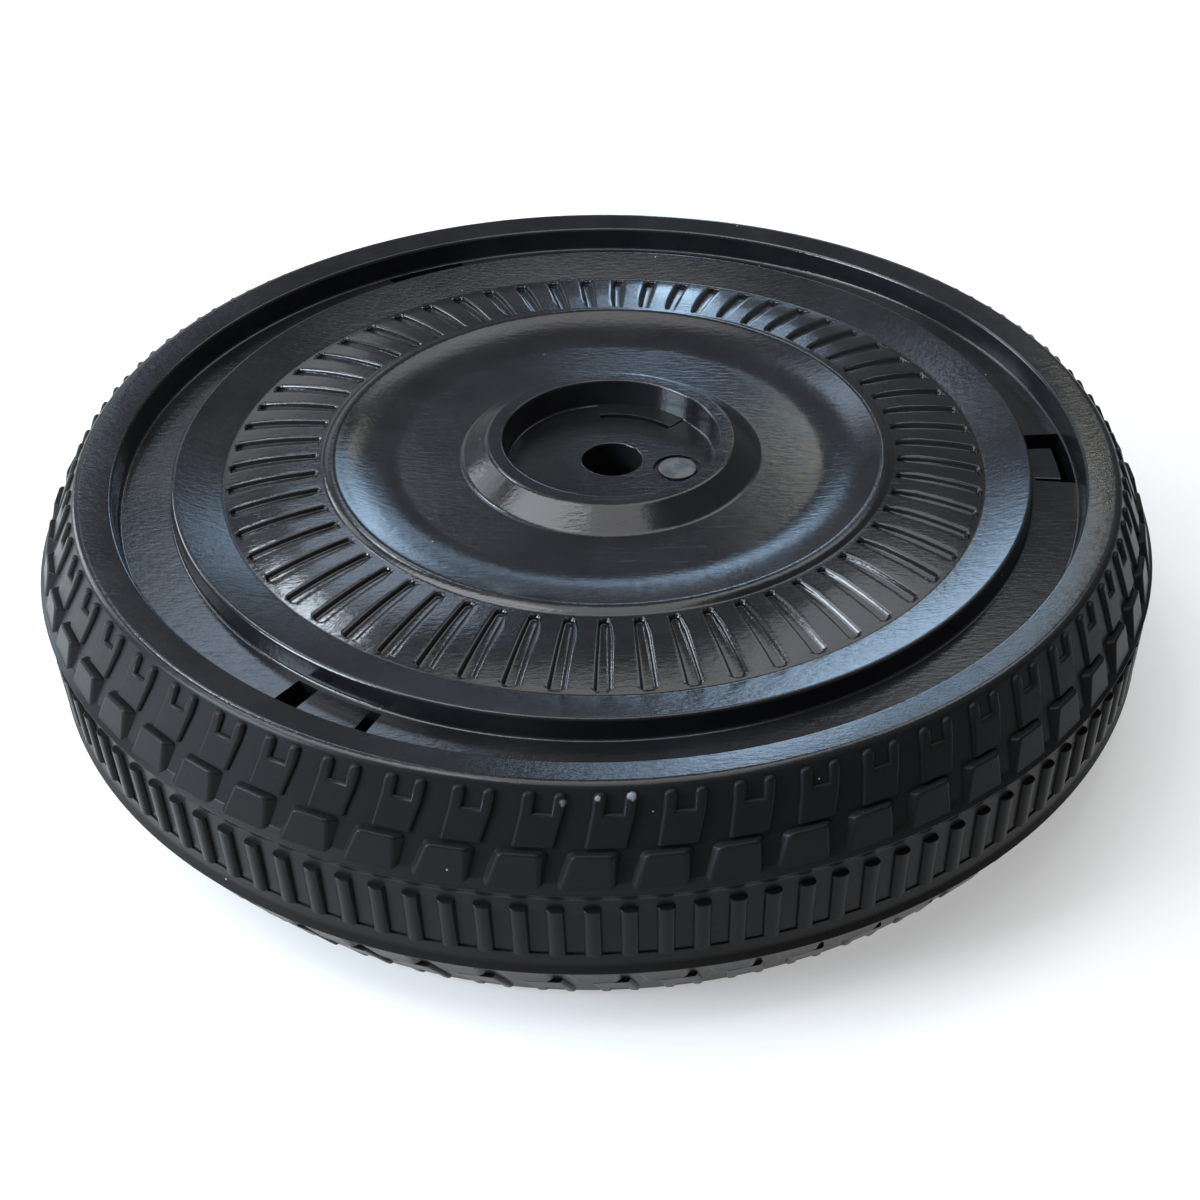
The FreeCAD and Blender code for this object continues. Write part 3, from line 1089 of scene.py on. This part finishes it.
# %% [markdown]
# Each shader gets its colour, its roughness and a shallow bump. The black is uneven in soft clouds, and the
# tread turns a little brown towards the floor, a painted reflection of a brown floor under it. The marks
# are laid over the colour, and the rough ones over the bump too.

# %% Colours of the face and the tread
deep_black = (0.008, 0.008, 0.010, 1)
worn_black = (0.012, 0.012, 0.014, 1)
gate_grey = (0.075, 0.075, 0.077, 1)
dust_grey = (0.32, 0.33, 0.34, 1)
# Painted reflection: the lower tread is tinted brown, standing in for a brown floor mirrored in it.
floor_reflection_brown = (0.017, 0.015, 0.0135, 1)
high_tread_black = (0.012, 0.012, 0.0125, 1)
torn_grey = (0.30, 0.32, 0.34, 1)
low_tread_z = -26
high_tread_z = 14

black = plastic.blend(cloud.step(0.35, 0.7), deep_black, worn_black)
black = plastic.blend(gate * (0.3 + 0.7 * mottle.step(0.35, 0.65)), black, gate_grey)
face_colour = plastic.blend(dust, black, dust_grey)
# Painted reflection: the tread's colour turns brown towards the bottom, as if it mirrored a brown floor.
floor_reflection_fade = z.step(low_tread_z * mm, high_tread_z * mm)
tread_colour = plastic.blend(floor_reflection_fade, floor_reflection_brown, high_tread_black)
tread_colour = plastic.blend(torn * 0.6 + dust, tread_colour, torn_grey)
print("deepest black", deep_black[:3])

# %% Shaders of the face and the tread
bump_depth = 0.12 * mm
plastic_ior = 1.5
face_height = grain + mottle * 0.5 + hairlines * 0.12 + gate * mottle * 4.0
face_bump = plastic.node("ShaderNodeBump", None,
                         {"Strength": 0.35, "Distance": bump_depth, "Height": face_height})
face_roughness = 0.08 + cloud * 0.08 + grain * 0.08 + hairlines * 0.03 + gate * 0.25
face = plastic.node("ShaderNodeBsdfPrincipled", None,
                    {"Base Color": face_colour, "Normal": face_bump, "IOR": plastic_ior,
                     "Roughness": face_roughness})
tread_height = grain * 0.6 + mottle + torn * mottle * 4.0
tread_bump = plastic.node("ShaderNodeBump", None,
                          {"Strength": 0.18, "Distance": bump_depth, "Height": tread_height})
tread_roughness = 0.22 + cloud * 0.08 + mottle * 0.06
tread = plastic.node("ShaderNodeBsdfPrincipled", None,
                     {"Base Color": tread_colour, "Normal": tread_bump, "IOR": plastic_ior,
                      "Specular IOR Level": 0.08, "Roughness": tread_roughness})
skin = plastic.node("ShaderNodeMixShader", None, {0: on_tread, 1: face, 2: tread})
plastic.node("ShaderNodeOutputMaterial", None, {"Surface": skin})
print("plastic has", len(plastic.tree.nodes), "nodes")

# %% [markdown]
# The screws are steel with a thin coat of zinc, which is a little cloudy. One metal shader is enough, with
# noise in its tint and its roughness.

# %% Zinc-plated steel
dark_zinc = (0.46, 0.46, 0.47, 1)
pale_zinc = (0.62, 0.62, 0.60, 1)
steel = Finish(bpy.data.materials.new("screw_steel"))
zinc_cloud = steel.noise(steel.node("ShaderNodeTexCoord", out="Object"), 900.0, detail=3.0)
zinc_tint = steel.blend(zinc_cloud, dark_zinc, pale_zinc)
zinc = steel.node("ShaderNodeBsdfPrincipled", None,
                  {"Base Color": zinc_tint, "Roughness": 0.25 + zinc_cloud * 0.2, "Metallic": 1.0})
steel.node("ShaderNodeOutputMaterial", None, {"Surface": zinc})
print("steel has", len(steel.tree.nodes), "nodes")

# %% [markdown]
# Each new piece takes the place of one CAD node. All of them ride on the wheel's one body, since nothing on
# it moves by itself.

# %% Dress the pieces
for piece, finish, node, slot in ((front, plastic, "front_shell", "black_plastic"),
                                  (rear, plastic, "rear_shell", "black_plastic"),
                                  (screws, steel, "shell_screws", "screw_steel")):
    piece.data.materials.clear()
    piece.data.materials.append(finish.owner)
    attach(piece, "root")
    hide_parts(node)
print("dressed", front.name, rear.name, screws.name)

# %% [markdown]
# The wheel lies on white paper. Part of the paper's white is its own, seen by the camera and by mirror-like
# rays, and the rest is lit, so that the wheel's soft shadow stays on it. Paper that only glowed would show
# no shadow.

# %% Floor
floor_size = 8.0
floor_gap = 0.1 * mm
paper_dark = (0.59, 0.59, 0.59, 1)
paper_pale = (0.61, 0.61, 0.61, 1)
no_light = (0, 0, 0, 1)
white_light = (1, 1, 1, 1)
bpy.ops.object.select_all(action="DESELECT")
bpy.ops.mesh.primitive_plane_add(size=floor_size, location=(0, 0, cad_low.z - floor_gap))
floor = bpy.context.object
floor.name = "floor"
bpy.ops.object.transform_apply(location=True)

paper = Finish(bpy.data.materials.new("white_paper"))
ray_kinds = ("Is Camera Ray", "Is Glossy Ray", "Is Transmission Ray")
camera_ray, glossy_ray, clear_ray = [paper.node("ShaderNodeLightPath", out=kind) for kind in ray_kinds]
fibres = paper.noise(paper.node("ShaderNodeTexCoord", out="Object"), 300.0)
sheet_colour = paper.blend(fibres, paper_dark, paper_pale)
glow_colour = paper.blend(camera_ray + glossy_ray + clear_ray, no_light, white_light)
sheet = paper.node("ShaderNodeBsdfDiffuse", None, {"Color": sheet_colour})
glow = paper.node("ShaderNodeEmission", None, {"Color": glow_colour, "Strength": 0.38})
both = paper.node("ShaderNodeAddShader", None, {0: sheet, 1: glow})
paper.node("ShaderNodeOutputMaterial", None, {"Surface": both})
floor.data.materials.append(paper.owner)
print("paper has", len(paper.tree.nodes), "nodes")

# %% Room
wall_tint = (0.92, 0.96, 1.0, 1)
room = Finish(bpy.data.worlds.new("studio"))
walls = room.node("ShaderNodeBackground", None, {"Color": wall_tint, "Strength": 0.17})
room.node("ShaderNodeOutputWorld", None, {"Surface": walls})
bpy.context.scene.world = room.owner
print("room", room.owner.name)

# %% [markdown]
# The light is soft daylight. Each highlight on the shiny face mirrors one bright thing in the room, so the
# lights stand where the highlights point to. Behind the wheel are a low bluish window in three panes and,
# to the left, a higher window and a faint haze. More windows stand on the left, with one small bright patch
# of sky. A skylight and a broad overhead light fill in, a strip low on the left brightens that side, and a
# small warm card gives the one yellowish glint.

# %% Soft lights
window_blue = (0.50, 0.73, 1.0)


def soft_light(name, spot, target, width, height, radiance, tint):
    """Rectangular soft light that faces a target. Its power follows from how bright its surface is."""
    bpy.ops.object.light_add(type="AREA", location=spot)
    lamp = bpy.context.object
    lamp.name = name
    lamp.rotation_euler = (Vector(target) - Vector(spot)).to_track_quat("-Z", "Y").to_euler()
    lamp.data.shape = "RECTANGLE"
    lamp.data.size, lamp.data.size_y = width, height
    lamp.data.energy = radiance * math.pi * width * height
    lamp.data.color = tint
    lamp.visible_camera = False
    print(name, round(lamp.data.energy, 2), "W")


# Each light is a name, its place and target in metres, its width and height, its radiance and its tint.
lights = [
    # Behind the wheel
    ("low_window", (0.072, 1.0, 0.26), (0.06, 0, 0.02), 0.075, 0.31, 6.2, window_blue),
    ("low_window_top", (0.0875, 1.0, 0.445), (0.04, 0, 0.02), 0.235, 0.085, 5.0, window_blue),
    ("low_window_side", (0.185, 1.0, 0.545), (0.06, 0, 0.02), 0.05, 0.09, 3.5, window_blue),
    ("back_window", (-0.325, 1.0, 0.925), (-0.07, -0.05, 0.02), 0.29, 0.25, 4.2, (0.64, 0.80, 1.0)),
    ("left_haze", (-0.51, 1.0, 0.41), (0, 0, 0.02), 0.50, 0.34, 0.7, (1.0, 1.0, 1.0)),
    # On the left
    ("left_window", (-0.63, -0.05, 1.02), (0, 0, 0), 0.60, 0.80, 5.6, (0.92, 0.96, 1.0)),
    ("left_low", (-0.82, 0.48, 0.55), (0, 0, 0.02), 0.30, 0.30, 2.6, (0.90, 0.95, 1.0)),
    ("left_edge", (-0.86, 0.50, 0.27), (0, 0, 0.02), 0.35, 0.28, 9.0, (0.80, 0.90, 1.0)),
    ("sky_spot", (-0.54, 0.71, 0.94), (0, 0, 0), 0.14, 0.14, 26.0, (0.80, 0.91, 1.0)),
    # Above, and the last glints
    ("right_skylight", (0.40, 0.62, 0.95), (0, 0, 0), 0.45, 0.45, 2.2, (0.86, 0.94, 1.0)),
    ("overhead", (0.0, 0.02, 1.2), (0, 0.02, 0), 0.7, 1.2, 2.2, (1.0, 0.99, 0.98)),
    ("left_strip", (-0.60, -0.20, 0.25), (-0.1, -0.02, 0.0), 0.30, 0.30, 22.0, (0.72, 0.86, 1.0)),
    ("warm_card", (0.178, 1.0, 0.655), (0.04, 0, 0.02), 0.05, 0.05, 8.0, (1.0, 0.96, 0.70)),
]
for row in lights:
    soft_light(*row)

# %% [markdown]
# The Standard view shows the colours as they are, so that white paper stays white.

# %% Look settings
bpy.context.scene.view_settings.view_transform = "Standard"
print("view", bpy.context.scene.view_settings.view_transform)
